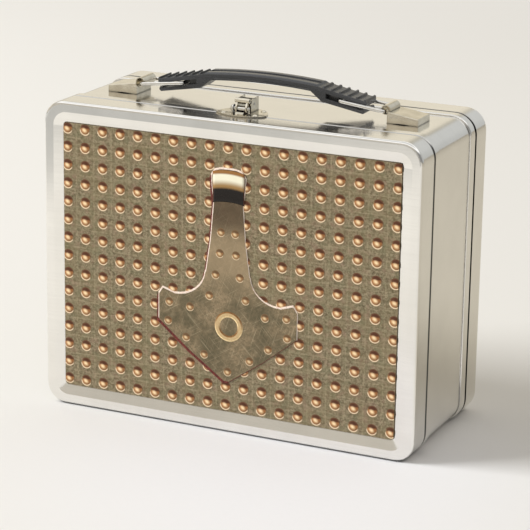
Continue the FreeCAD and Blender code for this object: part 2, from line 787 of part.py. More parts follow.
def handle_grip():
    """One moulded piece: a grooved arch with a ribbed, forked foot each side."""
    body = new_body("Grip")
    side = sketch_on(body, "XZ_Plane", "GripSide")
    arch_end = "(ForkStart - RibWide)"
    arch_sag = f"(GripArch - sqrt(GripArch ^ 2 - {arch_end} ^ 2))"
    under_end = "(ForkStart - UnderRun)"
    under_arch = "(GripArch - GripThick)"
    under_sag = f"({under_arch} - sqrt({under_arch} ^ 2 - {under_end} ^ 2))"

    right = [("ForkStart", fork_top("ForkStart"))]
    for k in range(RIB_COUNT):
        near = f"(RibFirst + {k} * RibPitch - RibWide / 2)"
        far = f"(RibFirst + {k} * RibPitch + RibWide / 2)"
        lean = "RibWide / 6"
        right.append((near, fork_top(near)))
        right.append((f"{near} + {lean}", fork_top(near) + " + RibHigh"))
        right.append((f"{far} - {lean}", fork_top(far) + " + RibHigh"))
        right.append((far, fork_top(far)))
    tip = f"(RibFirst + {RIB_COUNT - 1} * RibPitch + RibWide / 2)"
    low_wall = "-SlotHeight / 2"
    lip_start = f"({tip} - 2 * SlotHeight)"
    right.append((tip, slot_level(tip, "SlotHeight / 2")))
    right.append(("SlotEnd", slot_level("SlotEnd", "SlotHeight / 2")))
    right.append(("SlotEnd", slot_level("SlotEnd", low_wall)))
    right.append((f"{tip} - SlotHeight", slot_level(f"({tip} - SlotHeight)", low_wall)))
    right.append((f"{tip} - SlotFlare", slot_level(tip, f"{low_wall} + SlotLip")))
    right.append((f"{tip} - RibWide", slot_level(tip, f"{low_wall} + SlotLip")))
    right.append((f"{tip} - RibWide / 2", "TongueTip + SlotLip"))
    right.append((f"{tip} - RibWide * 1.5", "TongueTip"))
    right.append(("ForkStart + RibWide * 2", "TongueLow"))

    points = [(f"-{arch_end}", f"GripTopRise - {arch_sag}", "GripArch", -1)]
    points.append((arch_end, f"GripTopRise - {arch_sag}"))
    points += right
    under = f"GripTopRise - GripThick - {under_sag}"
    points.append((under_end, under, under_arch, 1))
    points.append((f"-{under_end}", under))
    points += [(f"-({x})", z) for x, z in reversed(right)]
    outline(side, points)
    pad(body, side, "GripWidth", midplane=True)

    groove = sketch_on(body, "XZ_Plane", "GripGroove")
    floor = "(GripArch - GrooveDepth)"
    floor_sag = f"({floor} - sqrt({floor} ^ 2 - {arch_end} ^ 2))"
    level = f"GripTopRise - GrooveDepth - {floor_sag}"
    outline(
        groove,
        [
            (f"-{arch_end}", "GripTopRise + GrooveDepth"),
            (f"-{arch_end}", level, floor, -1),
            (arch_end, level),
            (arch_end, "GripTopRise + GrooveDepth"),
        ],
    )
    pocket(body, groove, "GrooveWidth", midplane=True)

    half = value_of("GripWidth / 2")
    reach = value_of("ForkStart")

    def long_edge(edge):
        span = edge.BoundBox
        curved = edge.Curve.TypeId == "Part::GeomCircle"
        return curved and abs(abs(span.YMax) - half) < 1e-3 and span.XMax < reach

    def groove_edge(edge):
        span = edge.BoundBox
        curved = edge.Curve.TypeId == "Part::GeomCircle"
        return curved and abs(abs(span.YMax) - value_of("GrooveWidth / 2")) < 1e-3

    round_edges(body, "GripRadius", long_edge)
    round_edges(body, "GrooveRound", groove_edge)
    for where, offset in (("Front", "GripWidth / 2"), ("Rear", "-GripWidth / 2")):
        cuts = sketch_on(body, "XZ_Plane", f"GripSideCut{where}", offset)
        for sign in (-1, 1):
            corners = [
                (f"{sign} * SideCutEnd", slot_level("SideCutEnd", "SlotHeight / 2")),
                (f"{sign} * (SlotEnd + RibWide)", slot_level("(SlotEnd + RibWide)", "SlotHeight / 2")),
                (f"{sign} * (SlotEnd + RibWide)", slot_level("(SlotEnd + RibWide)", low_wall)),
                (f"{sign} * SideCutEnd", slot_level("SideCutEnd", low_wall)),
            ]
            outline(cuts, corners)
        pocket(body, cuts, "SideCutDepth", backwards=where == "Rear")
    place(body, z="Height")
    return finish_part(body, "handle_grip")


# ---------------------------------------------------------------- latch


def segment_radius(half_chord, depth):
    """Radius of the circle through a chord's ends that is depth beyond it."""
    return f"((({half_chord}) ^ 2 + ({depth}) ^ 2) / (2 * ({depth})))"


def rivet_pair(name, label, y, head_level, tail_level):
    """Two domed rivets that hold one latch plate to the sheet under it."""
    rivets = []
    for side, sign in SIDES.items():
        x = f"{sign} * RivetX"
        head = doc.addObject("Part::Sphere", f"{name}Head{side}")
        bind(head, "Radius", "RivetDome")
        head.Angle1 = math.degrees(math.asin(value_of("RivetSunk / RivetDome")))
        place(head, x, y, f"{head_level} - RivetSunk")
        shank = rod(f"{name}Shank{side}", "RivetRadius", "z", tail_level, head_level, x=x, y=y)
        tail_low = f"{tail_level} - Sheet"
        tail = rod(f"{name}Tail{side}", "RivetTail", "z", tail_low, tail_level, x=x, y=y)
        rivets.append(fuse(f"{name}{side}", [head, shank, tail]))
    return finish_part(group(name, rivets), label)


def rivet_holes(name, y, low, high):
    return [
        rod(f"{name}{side}", "RivetRadius + RunningGap", "z", low, high, x=f"{sign} * RivetX", y=y)
        for side, sign in SIDES.items()
    ]


BASE_RIVET_Y = "(PivotY + BaseRivetShift)"
CATCH_RIVET_Y = f"(-({RIM}) - CatchReach / 3)"
PLATE_TOP = "Height + PlateThick"


def latch_base_plate():
    """The D-shaped plate on the band, with two ears that hold the pivot pin."""
    body = new_body("LatchBase")
    plate = sketch_on(body, "XY_Plane", "LatchBaseOutline")
    outline(
        plate,
        [
            ("-LatchHalfWidth", "0"),
            ("LatchHalfWidth", "0", segment_radius("LatchHalfWidth", "BaseReach"), 1),
        ],
    )
    pad(body, plate, "PlateThick")
    step = sketch_on(body, "XY_Plane", "LatchBaseStep", "-BeadProud")
    near = "(BeadWidth + BeadProud)"
    half = "(LatchHalfWidth - StepInset)"
    depth = f"(BaseReach - {near} - BeadProud)"
    outline(step, [(f"-{half}", near), (half, near, segment_radius(half, depth), 1)])
    pad(body, step, "BeadProud")
    place(body, "0", f"-({BEAD_FACE})", "Height")

    solids = [body]
    for side, sign in SIDES.items():
        ear = new_body("LatchEar" + side)
        shape = sketch_on(ear, "YZ_Plane", f"LatchEarOutline{side}")
        outline(
            shape,
            [
                ("LeverFront + EarSetback", "0"),
                ("LeverRear", "0"),
                ("LeverRear - LeverPlay", "LeverTop + EarLip"),
                ("LeverRear - LeverPlay - EarTop", "LeverTop + EarLip"),
                ("LeverRear - 4 * LeverPlay - EarTop", "LeverTop - LeverPlay / 2"),
                ("PivotY - EarShoulder", "LeverTop - LeverPlay / 2"),
                ("PivotY - EarBrow", "LeverTop - EarDrop"),
                ("LeverFront + EarSetback", "LeverTop - EarCheek"),
            ],
        )
        pad(ear, shape, "CheekThick")
        edge = "LeverHalfWidth - CheekThick" if sign > 0 else "-LeverHalfWidth"
        place(ear, edge, "0", "Height")
        solids.append(ear)
    hole = rod(
        "LatchEarHole",
        "PivotRadius + RunningGap",
        "x",
        "-LatchHalfWidth",
        "LatchHalfWidth",
        y="PivotY",
        z="Height + PivotRise",
    )
    tools = [hole] + rivet_holes("LatchBaseHole", BASE_RIVET_Y, "Height - CornerRadius / 2", PLATE_TOP)
    return finish_part(cut("LatchBasePlate", fuse("LatchBaseSolid", solids), tools), "latch_base_plate")


def latch_catch_plate():
    """The plate on the lid, with a tongue that reaches back under the lever."""
    body = new_body("LatchCatch")
    plate = sketch_on(body, "XY_Plane", "LatchCatchOutline")
    outline(
        plate,
        [
            ("LatchHalfWidth", "0"),
            ("-LatchHalfWidth", "0", segment_radius("LatchHalfWidth", "CatchReach"), 1),
        ],
    )
    pad(body, plate, "PlateThick")
    place(body, "0", f"-({RIM}) - RunningGap", "Height")
    tongue = new_body("LatchTongue")
    side = sketch_on(tongue, "YZ_Plane", "LatchTongueOutline")
    nose_front = "(HookY + HookRadius + HookRim)"
    nose_back = f"({nose_front} + PlateThick)"
    upper = "(HookRise - HookRadius - LeverPlay / 2)"
    under = f"({upper} - PlateThick)"
    foot = f"(-({RIM}) - CatchReach / 3)"
    outline(
        side,
        [
            (foot, "PlateThick / 4"),
            (f"{foot} + 2 * PlateThick", under),
            (nose_back, under),
            (nose_back, "NoseRise"),
            (nose_front, "NoseRise"),
            (nose_front, upper),
            (f"{foot} + PlateThick", upper),
            (f"{foot} - 1.5 * PlateThick", "PlateThick / 4"),
        ],
    )
    pad(tongue, side, "2 * TongueHalfWidth", midplane=True)
    place(tongue, z="Height")
    tools = rivet_holes("LatchCatchHole", CATCH_RIVET_Y, "Height - CornerRadius / 2", PLATE_TOP)
    solid = fuse("LatchCatchSolid", [body, tongue])
    return finish_part(cut("LatchCatchPlate", solid, tools), "latch_catch_plate")


def latch_lever():
    """The clasp: two arms on the pivot pin, a top web and a rolled front."""
    hook_front = "(HookY - HookRadius - HookRim)"
    hook_low = "(HookRise - HookRadius - HookRim)"
    arms = new_body("LeverArms")
    shape = sketch_on(arms, "YZ_Plane", "LeverArmOutline")
    outline(
        shape,
        [
            (hook_front, hook_low),
            ("HookY + HookRadius", hook_low),
            ("PivotY", "PivotRise - HeelDrop"),
            ("PivotY + HeelReach", "PivotRise - HeelHalf"),
            ("PivotY + HeelReach", "PivotRise + HeelHalf"),
            ("PivotY + EarShoulder", "LeverTop - LeverPlay"),
            ("LeverFront", "LeverTop - WebDip"),
            (hook_front, "HookRise + HookRadius"),
        ],
    )
    arm_outside = "(LeverHalfWidth - CheekThick - EarLip)"
    pad(arms, shape, f"2 * {arm_outside}", midplane=True)
    gap = sketch_on(arms, "YZ_Plane", "LeverGapOutline")
    outline(
        gap,
        [
            ("HookY - 2 * HookRadius", "0"),
            ("PivotY + 2 * HeelReach", "0"),
            ("PivotY + 2 * HeelReach", "LeverTop - LeverPlay - WebThick"),
            ("HookY - 2 * HookRadius", "LeverTop - WebThick"),
        ],
    )
    pocket(arms, gap, f"2 * ({arm_outside} - CheekThick)", midplane=True)
    place(arms, z="Height")
    roll_z = "Height + LeverTop - RollRadius / 2"
    half = "(LeverHalfWidth - LeverPlay)"
    roll = rod("LeverRoll", "RollRadius", "x", f"-{half}", half, y="LeverFront", z=roll_z)
    tools = [
        rod("LeverRollBore", "RollBore", "x", "-LatchHalfWidth", "LatchHalfWidth", y="LeverFront", z=roll_z),
        rod(
            "LeverPivotHole",
            "PivotRadius + RunningGap",
            "x",
            "-LatchHalfWidth",
            "LatchHalfWidth",
            y="PivotY",
            z="Height + PivotRise",
        ),
        rod(
            "LeverHookHole",
            "HookRadius + RunningGap",
            "x",
            "-LatchHalfWidth",
            "LatchHalfWidth",
            y="HookY",
            z="Height + HookRise",
        ),
    ]
    return finish_part(cut("LatchLever", fuse("LeverSolid", [arms, roll]), tools), "latch_lever")


def latch_pins():
    """The pivot pin in the ears and the hook pin at the front of the lever."""
    at_pivot = {"y": "PivotY", "z": "Height + PivotRise"}
    end = "(LeverHalfWidth + CheekThick / 4)"
    shank = rod("PivotShank", "PivotRadius", "x", f"-{end}", end, **at_pivot)
    dimples = [
        rod("PivotDimpleRight", "PivotRadius / 2", "x", f"{end} - CheekThick", end, **at_pivot),
        rod("PivotDimpleLeft", "PivotRadius / 2", "x", f"-{end}", f"-{end} + CheekThick", **at_pivot),
    ]
    finish_part(cut("LatchPivotPin", shank, dimples), "latch_pivot_pin")
    at_hook = {"y": "HookY", "z": "Height + HookRise"}
    near = "-(LeverHalfWidth + CheekThick / 4)"
    hook = rod("HookShank", "HookRadius", "x", near, "LeverHalfWidth - CheekThick / 2", **at_hook)
    ball = doc.addObject("Part::Sphere", "HookBall")
    bind(ball, "Radius", "HookHead")
    ball.Angle1 = 0
    place(ball, near, "HookY", "Height + HookRise", FreeCAD.Rotation(FreeCAD.Vector(0, 1, 0), -90))
    finish_part(fuse("LatchHookPin", [hook, ball]), "latch_hook_pin")


body_band()
tray("Lid", "front_lid", front=True)
tray("Cover", "rear_cover", front=False)
picture_panel()
hinge_leaf("BandLeaf", "hinge_body_leaf", 0, 1)
hinge_leaf("LidLeaf", "hinge_lid_leaf", 1, -1)
hinge_pin()
for side_name, side_sign in SIDES.items():
    handle_bracket(side_name, side_sign)
    backing_plate(side_name, side_sign)
    bail(side_name, side_sign)
handle_grip()
latch_base_plate()
latch_catch_plate()
latch_lever()
latch_pins()
base_tail = f"({BAND_TOP} - Sheet)"
rivet_pair("LatchBaseRivets", "latch_base_rivets", BASE_RIVET_Y, f"({PLATE_TOP})", base_tail)
rivet_pair("LatchCatchRivets", "latch_catch_rivets", CATCH_RIVET_Y, f"({PLATE_TOP})", "(Height - Sheet)")

doc.recompute()
for thing in doc.Objects:
    bad = [state for state in thing.State if state in ("Invalid", "Error")]
    if bad:
        raise RuntimeError(f"{thing.Name} ({thing.Label}) is {bad}")
os.makedirs("parts", exist_ok=True)
for part in sub_parts:
    shape = part.Shape
    if shape.isNull() or not shape.isValid():
        raise RuntimeError(f"{part.Label} has no valid shape")
    shape.exportStep(f"parts/{part.Label}.step")
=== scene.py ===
import json
import math

import bmesh
import bpy
from mathutils import Matrix, Vector


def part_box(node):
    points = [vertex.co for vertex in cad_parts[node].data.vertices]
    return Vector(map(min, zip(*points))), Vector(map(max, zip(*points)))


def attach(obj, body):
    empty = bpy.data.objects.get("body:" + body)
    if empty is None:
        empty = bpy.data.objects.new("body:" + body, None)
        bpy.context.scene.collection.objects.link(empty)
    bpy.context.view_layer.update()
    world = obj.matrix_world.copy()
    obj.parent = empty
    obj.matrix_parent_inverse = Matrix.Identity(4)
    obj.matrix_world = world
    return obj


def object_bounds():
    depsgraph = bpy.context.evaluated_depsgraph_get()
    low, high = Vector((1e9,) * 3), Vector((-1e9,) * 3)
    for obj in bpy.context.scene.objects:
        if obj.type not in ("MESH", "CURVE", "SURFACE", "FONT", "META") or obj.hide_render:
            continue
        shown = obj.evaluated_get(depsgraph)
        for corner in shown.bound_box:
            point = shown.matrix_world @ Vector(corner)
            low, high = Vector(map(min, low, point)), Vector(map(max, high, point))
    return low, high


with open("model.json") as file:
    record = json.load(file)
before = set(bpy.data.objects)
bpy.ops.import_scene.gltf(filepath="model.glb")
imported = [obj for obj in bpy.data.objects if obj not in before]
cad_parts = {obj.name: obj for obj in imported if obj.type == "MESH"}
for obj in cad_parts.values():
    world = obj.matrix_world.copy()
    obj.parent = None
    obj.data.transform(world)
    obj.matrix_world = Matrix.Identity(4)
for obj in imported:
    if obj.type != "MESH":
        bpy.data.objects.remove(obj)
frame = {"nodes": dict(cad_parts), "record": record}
cad_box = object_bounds()
nodes = frame["nodes"]
MM = 0.001


# ---------------------------------------------------------------- node graphs


def linear(red, green, blue):
    """An sRGB colour, 0 to 255, as the linear RGBA that shader nodes take."""
    out = []
    for channel in (red, green, blue):
        c = channel / 255
        out.append(c / 12.92 if c <= 0.04045 else ((c + 0.055) / 1.055) ** 2.4)
    return (*out, 1.0)


class Graph:
    """Builds a node tree with short calls; sockets are passed as inputs."""

    def __init__(self, tree):
        self.tree = tree
        tree.nodes.clear()

    def add(self, kind, inputs=None, **settings):
        node = self.tree.nodes.new(kind)
        for key, value in settings.items():
            setattr(node, key, value)
        for key, value in (inputs or {}).items():
            self.put(node.inputs[key], value)
        return node

    def put(self, socket, value):
        if isinstance(value, bpy.types.NodeSocket):
            self.tree.links.new(value, socket)
        else:
            socket.default_value = value

    def math(self, operation, a, b=0.0):
        return self.add("ShaderNodeMath", {0: a, 1: b}, operation=operation).outputs[0]

    def length(self, a, b):
        """The length of the vector (a, b)."""
        squares = [self.math("POWER", side, 2.0) for side in (a, b)]
        return self.math("SQRT", self.math("ADD", *squares))

    def ramp(self, value, low, high, to_low=0.0, to_high=1.0):
        """A smooth step from to_low at low to to_high at high; low may be the larger of the two."""
        inputs = {"Value": value, "From Min": low, "From Max": high, "To Min": to_low, "To Max": to_high}
        return self.add("ShaderNodeMapRange", inputs, interpolation_type="SMOOTHSTEP").outputs["Result"]

    def mix(self, share, a, b, blend="MIX"):
        node = self.add("ShaderNodeMix", data_type="RGBA", blend_type=blend)
        self.put(node.inputs["Factor"], share)
        self.put(node.inputs[6], a)
        self.put(node.inputs[7], b)
        return node.outputs[2]

    def noise(self, vector, scale, detail, rough):
        """Noise from about 0.3 to 0.7, with the scale in cells per metre of the vector."""
        inputs = {"Vector": vector, "Scale": scale, "Detail": detail, "Roughness": rough}
        return self.add("ShaderNodeTexNoise", inputs).outputs["Fac"]

    def stretch(self, vector, x, y, z):
        return self.add("ShaderNodeMapping", {"Vector": vector, "Scale": (x, y, z)}).outputs[0]

    def split(self, vector):
        return self.add("ShaderNodeSeparateXYZ", {"Vector": vector}).outputs

    def place(self):
        """Object coordinates, which are row coordinates for every CAD node."""
        return self.add("ShaderNodeTexCoord").outputs["Object"]

    def facing(self):
        """The x, y and z of the surface's normal."""
        return self.split(self.add("ShaderNodeNewGeometry").outputs["Normal"])

    def bump(self, height, distance, strength, normal=None):
        inputs = {"Height": height, "Distance": distance, "Strength": strength}
        if normal is not None:
            inputs["Normal"] = normal
        return self.add("ShaderNodeBump", inputs).outputs[0]

    def surface(self, inputs):
        shader = self.add("ShaderNodeBsdfPrincipled", inputs)
        self.add("ShaderNodeOutputMaterial", {"Surface": shader.outputs[0]})


# ---------------------------------------------------------------- shared by all pieces

# Painted shade: the near-black that crevices and seams are darkened towards.
CREVICE_SHADE = linear(16, 15, 14)
SHADING_SAMPLES = 6


def new_material(name):
    """An empty node material and its graph."""
    material = bpy.data.materials.new(name)
    material.use_nodes = True
    return material, Graph(material.node_tree)


def rounded(graph, radius):
    """Shading normals that round off sharp edges by the given radius."""
    return graph.add("ShaderNodeBevel", {"Radius": radius}, samples=SHADING_SAMPLES).outputs[0]


def shaded_in_crevices(graph, colour, reach, depth=0.95):
    """The colour, darkened as painted shade where another surface stands within reach, as in a seam."""
    sky = graph.add("ShaderNodeAmbientOcclusion", {"Distance": reach}, samples=SHADING_SAMPLES)
    return graph.mix(graph.ramp(sky.outputs["AO"], 0.84, 0.34, 0.0, depth), colour, CREVICE_SHADE)


def paint(piece, material):
    piece.data.materials.clear()
    piece.data.materials.append(material)


def new_piece(name, bm):
    """The finished mesh as an object in the scene."""
    mesh = bpy.data.meshes.new(name)
    bm.to_mesh(mesh)
    bm.free()
    piece = bpy.data.objects.new(name, mesh)
    bpy.context.scene.collection.objects.link(piece)
    return piece


# ---------------------------------------------------------------- metals and plastic

TIN_DULL = linear(240, 238, 234)
TIN_BRIGHT = linear(246, 244, 240)
TIN_LINE = linear(214, 212, 206)
NICKEL_BRIGHT = linear(232, 225, 208)
NICKEL_DULL = linear(220, 212, 194)
WIRE_BRIGHT = linear(240, 238, 233)
WIRE_DULL = linear(226, 223, 217)
ZINC_BRIGHT = linear(192, 196, 200)
ZINC_DARK = linear(170, 174, 180)
PLASTIC_DARK = linear(36, 37, 39)
PLASTIC_LIGHT = linear(50, 51, 54)
PLASTIC_WORN = linear(90, 91, 95)
# Painted shadow tone for the seams between the lids and the band.
SEAM_SHADE = linear(22, 21, 19)
SEAM_HALF_GAP = 0.6 * MM

# Each painted seam shadow line: its middle along Y, and the distances from there at which it starts and is
# full.
SEAM_LINES = ((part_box("front_lid")[1].y + SEAM_HALF_GAP, 1.6 * MM, 0.85 * MM),
              (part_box("rear_cover")[0].y - SEAM_HALF_GAP, 1.4 * MM, 0.8 * MM))
SEAM_DEPTH_SIDES = 0.94
SEAM_DEPTH_TOP = 0.3
BAND_TOP_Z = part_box("body_band")[1].z
TOP_STARTS_Z = BAND_TOP_Z - 8 * MM
TOP_ENDS_Z = BAND_TOP_Z - 2 * MM


def seam_shadow(graph, along_y, depth, colour):
    """Dark painted shadow lines where the lid and the rear cover close against the band."""
    for middle, start, full in SEAM_LINES:
        away = graph.math("ABSOLUTE", graph.math("SUBTRACT", along_y, middle))
        colour = graph.mix(graph.ramp(away, start, full, 0.0, depth), colour, SEAM_SHADE)
    return colour


def tin_plate():
    """Smooth tinplate with faint brush lines that run along each strip."""
    material, g = new_material("tin_plate")
    place = g.place()
    faces_front = g.math("GREATER_THAN", g.math("ABSOLUTE", g.facing()[1]), 0.8)
    around = g.noise(g.stretch(place, 9, 1500, 9), 1.0, 3.0, 0.6)
    across = g.noise(g.stretch(place, 9, 9, 1500), 1.0, 3.0, 0.6)
    lines = g.math("ADD", g.math("MULTIPLY", across, faces_front),
                   g.math("MULTIPLY", around, g.math("SUBTRACT", 1.0, faces_front)))
    clouds = g.noise(place, 42.0, 3.0, 0.55)
    tone = g.mix(g.ramp(clouds, 0.3, 0.7), TIN_DULL, TIN_BRIGHT)
    tone = g.mix(g.ramp(lines, 0.38, 0.62, 0.0, 0.10), tone, TIN_LINE)
    rough = g.math("ADD", g.ramp(clouds, 0.3, 0.7, 0.11, 0.15), g.ramp(lines, 0.3, 0.7, -0.02, 0.02))
    normal = g.bump(lines, 0.006 * MM, 0.5, rounded(g, 0.3 * MM))
    axes = g.split(place)
    # How strong the painted shade is: strong on the sides, weak on the top.
    depth = g.ramp(axes[2], TOP_STARTS_Z, TOP_ENDS_Z, SEAM_DEPTH_SIDES, SEAM_DEPTH_TOP)
    # Painted shade in crevices, then painted shadow lines along the seams.
    tone = seam_shadow(g, axes[1], depth, shaded_in_crevices(g, tone, 2.4 * MM, depth))
    g.surface({"Base Color": tone, "Metallic": 1.0, "Roughness": rough, "Normal": normal,
               "Anisotropic": 0.3})
    return material


def nickel_sheet():
    """Warm nickel, smooth, with fine scratches and slightly dull patches."""
    material, g = new_material("nickel_sheet")
    place = g.place()
    scratch = g.noise(g.stretch(place, 500, 2200, 500), 1.0, 2.0, 0.5)
    patches = g.noise(place, 160.0, 2.0, 0.5)
    tone = g.mix(g.ramp(patches, 0.35, 0.7), NICKEL_BRIGHT, NICKEL_DULL)
    rough = g.math("ADD", g.ramp(patches, 0.3, 0.7, 0.12, 0.18), g.ramp(scratch, 0.4, 0.7, 0.0, 0.04))
    normal = g.bump(scratch, 0.004 * MM, 0.4, rounded(g, 0.22 * MM))
    # Painted shade in crevices, where other parts stand near.
    g.surface({"Base Color": shaded_in_crevices(g, tone, 1.6 * MM), "Metallic": 1.0, "Roughness": rough,
               "Normal": normal})
    return material


def bright_wire():
    """Bright plated wire with faint drawing lines along it."""
    material, g = new_material("bright_wire")
    place = g.place()
    lines = g.noise(g.stretch(place, 300, 3000, 3000), 1.0, 2.0, 0.5)
    tone = g.mix(g.ramp(lines, 0.35, 0.65), WIRE_BRIGHT, WIRE_DULL)
    rough = g.ramp(lines, 0.3, 0.7, 0.07, 0.13)
    normal = g.bump(lines, 0.004 * MM, 0.4)
    # Painted shade in crevices, where other parts stand near.
    g.surface({"Base Color": shaded_in_crevices(g, tone, 1.2 * MM), "Metallic": 1.0, "Roughness": rough,
               "Normal": normal})
    return material


def zinc_sheet():
    """Dull zinc plating with a cloudy spangle."""
    material, g = new_material("zinc_sheet")
    place = g.place()
    cells = g.add("ShaderNodeTexVoronoi", {"Vector": place, "Scale": 420.0}).outputs["Color"]
    spangle = g.split(cells)[0]
    clouds = g.noise(place, 180.0, 3.0, 0.6)
    tone = g.mix(g.ramp(spangle, 0.0, 1.0, 0.0, 0.5), ZINC_BRIGHT, ZINC_DARK)
    rough = g.ramp(clouds, 0.3, 0.7, 0.28, 0.38)
    normal = g.bump(clouds, 0.015 * MM, 0.4, rounded(g, 0.2 * MM))
    # Painted shade in crevices, where other parts stand near.
    g.surface({"Base Color": shaded_in_crevices(g, tone, 1.6 * MM), "Metallic": 1.0, "Roughness": rough,
               "Normal": normal})
    return material


def black_plastic():
    """Moulded black plastic: fairly glossy, with a fine grain and rubbed high spots."""
    material, g = new_material("black_plastic")
    place = g.place()
    grain = g.noise(place, 2200.0, 3.0, 0.6)
    flow = g.noise(g.stretch(place, 30, 300, 300), 1.0, 3.0, 0.6)
    worn = g.ramp(g.add("ShaderNodeNewGeometry").outputs["Pointiness"], 0.5, 0.6, 0.0, 0.3)
    tone = g.mix(g.ramp(flow, 0.35, 0.7), PLASTIC_DARK, PLASTIC_LIGHT)
    tone = g.mix(worn, tone, PLASTIC_WORN)
    rough = g.math("ADD", g.ramp(flow, 0.3, 0.7, 0.20, 0.32), g.ramp(grain, 0.3, 0.7, -0.02, 0.04))
    normal = g.bump(grain, 0.012 * MM, 0.5, rounded(g, 0.3 * MM))
    # Painted shade in crevices, where other parts stand near.
    g.surface({"Base Color": shaded_in_crevices(g, tone, 1.5 * MM, 0.7), "Roughness": rough, "Normal": normal,
               "Specular IOR Level": 0.85})
    return material


# ---------------------------------------------------------------- printed picture

panel_low, panel_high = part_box("picture_panel")
PANEL_MID_X = (panel_low.x + panel_high.x) / 2
PANEL_Y = panel_low.y
STUD_COLUMNS = 19
STUD_ROWS = 15
STUD_PITCH_X = 10.80 * MM
STUD_PITCH_Z = 10.27 * MM
STUD_RADIUS = 3.3 * MM
STUD_HEIGHT = 0.5 * MM
STUD_TOP_MARGIN = 3.0 * MM
STUD_SHIFT = 0.4 * MM
STUD_TRIM = 0.1 * MM
STUD_SIDES = 20

# A stud's section, from its rim to near its tip, as shares of its radius and height.
STUD_PROFILE = [(1.0, 0.0), (0.93, 0.22), (0.86, 0.2), (0.80, 0.03), (0.70, 0.42), (0.55, 0.72), (0.38, 0.9),
                (0.2, 0.98)]

INK_DARK = linear(88, 76, 52)
INK_PALE = linear(152, 138, 110)
INK_OLIVE = linear(124, 110, 78)
INK_PINK = linear(146, 118, 98)
INK_GREEN = linear(104, 106, 76)
INK_BRUSHED = linear(160, 148, 118)
INK_GRID = linear(170, 156, 124)
STUD_LOWER = linear(168, 122, 78)
STUD_MIDDLE = linear(168, 112, 64)
STUD_UPPER = linear(88, 52, 34)
STUD_CROWN = linear(64, 40, 28)
STUD_GLOW = linear(250, 220, 172)
STUD_FOOT = linear(126, 88, 54)
STUD_DULL = linear(142, 122, 84)
RIM_SIDE = linear(136, 112, 80)
RIM_LOWER = linear(236, 210, 174)
RIM_UPPER = linear(104, 66, 44)


def stud_grid():
    """Centres of the printed studs on the panel, as (x, z)."""
    left = PANEL_MID_X + STUD_SHIFT - STUD_PITCH_X * (STUD_COLUMNS - 1) / 2
    top = panel_high.z - STUD_TOP_MARGIN
    return [
        (left + column * STUD_PITCH_X, top - row * STUD_PITCH_Z)
        for row in range(STUD_ROWS)
        for column in range(STUD_COLUMNS)
    ]


def stud_mesh(name, centres, radius, height, base_y):
    """Low domes with their own -1 to 1 coordinates, trimmed just inside the panel's edges."""
    bm = bmesh.new()
    local = bm.loops.layers.uv.new("stud")
    for cx, cz in centres:
        rings = []
        for share, rise in STUD_PROFILE:
            ring = []
            for k in range(STUD_SIDES):
                turn = 2 * math.pi * k / STUD_SIDES
                x = cx + radius * share * math.cos(turn)
                z = cz + radius * share * math.sin(turn)
                ring.append(bm.verts.new((x, base_y - height * rise, z)))
            rings.append(ring)
        tip = bm.verts.new((cx, base_y - height, cz))
        faces = []
        for outer, inner in zip(rings, rings[1:]):
            for k in range(STUD_SIDES):
                after = (k + 1) % STUD_SIDES
                faces.append(bm.faces.new((outer[k], outer[after], inner[after], inner[k])))
        for k in range(STUD_SIDES):
            faces.append(bm.faces.new((rings[-1][k], rings[-1][(k + 1) % STUD_SIDES], tip)))
        for face in faces:
            face.smooth = True
            for loop in face.loops:
                loop[local].uv = ((loop.vert.co.x - cx) / radius, (loop.vert.co.z - cz) / radius)
    for low, high, axis in ((panel_low.x, panel_high.x, 0), (panel_low.z, panel_high.z, 2)):
        for level, way in ((low + STUD_TRIM, -1), (high - STUD_TRIM, 1)):
            normal = [0, 0, 0]
            normal[axis] = way
            point = [0, 0, 0]
            point[axis] = level
            everything = bm.verts[:] + bm.edges[:] + bm.faces[:]
            bmesh.ops.bisect_plane(bm, geom=everything, plane_co=point, plane_no=normal, clear_outer=True)
    bm.normal_update()
    return new_piece(name, bm)


def print_colours(g):
    """The ground colour of the print: rubbed olive-brown brass with a faint grid."""
    place = g.place()
    speck = g.noise(place, 620.0, 5.0, 0.8)
    patch = g.noise(place, 95.0, 3.0, 0.6)
    pink = g.noise(place, 260.0, 3.0, 0.6)
    brushed = g.noise(g.stretch(place, 110, 110, 900), 1.0, 3.0, 0.6)
    tone = g.mix(g.ramp(speck, 0.36, 0.64), INK_DARK, INK_PALE)
    tone = g.mix(g.ramp(patch, 0.35, 0.65, 0.0, 0.5), tone, INK_OLIVE)
    tone = g.mix(g.ramp(pink, 0.52, 0.68, 0.0, 0.45), tone, INK_PINK)
    tone = g.mix(g.ramp(pink, 0.48, 0.34, 0.0, 0.35), tone, INK_GREEN)
    tone = g.mix(g.ramp(brushed, 0.45, 0.65, 0.0, 0.3), tone, INK_BRUSHED)
    axes = g.split(place)
    left = PANEL_MID_X + STUD_SHIFT - STUD_PITCH_X * STUD_COLUMNS / 2
    top = panel_high.z - STUD_TOP_MARGIN + STUD_PITCH_Z / 2
    for value, start, pitch in ((axes[0], left, STUD_PITCH_X), (axes[2], top, STUD_PITCH_Z)):
        cell = g.math("FRACT", g.math("DIVIDE", g.math("SUBTRACT", value, start), pitch))
        away = g.math("ABSOLUTE", g.math("SUBTRACT", cell, 0.5))
        line = g.math("MULTIPLY", g.ramp(away, 0.44, 0.49, 0.0, 0.32), g.ramp(speck, 0.3, 0.6))
        tone = g.mix(line, tone, INK_GRID)
    return tone, place


def print_surface(g, tone, place, roughness=0.38):
    """Varnished ink: mostly diffuse, with a soft gloss and a fine grain."""
    grain = g.noise(place, 1500.0, 2.0, 0.5)
    rough = g.ramp(grain, 0.3, 0.7, roughness - 0.04, roughness + 0.06)
    normal = g.bump(grain, 0.01 * MM, 0.4)
    g.surface({"Base Color": tone, "Roughness": rough, "Normal": normal, "Specular IOR Level": 0.3})


def printed_ground():
    """The flat ground of the print, between the studs."""
    material, g = new_material("printed_ground")
    tone, place = print_colours(g)
    print_surface(g, tone, place)
    return material


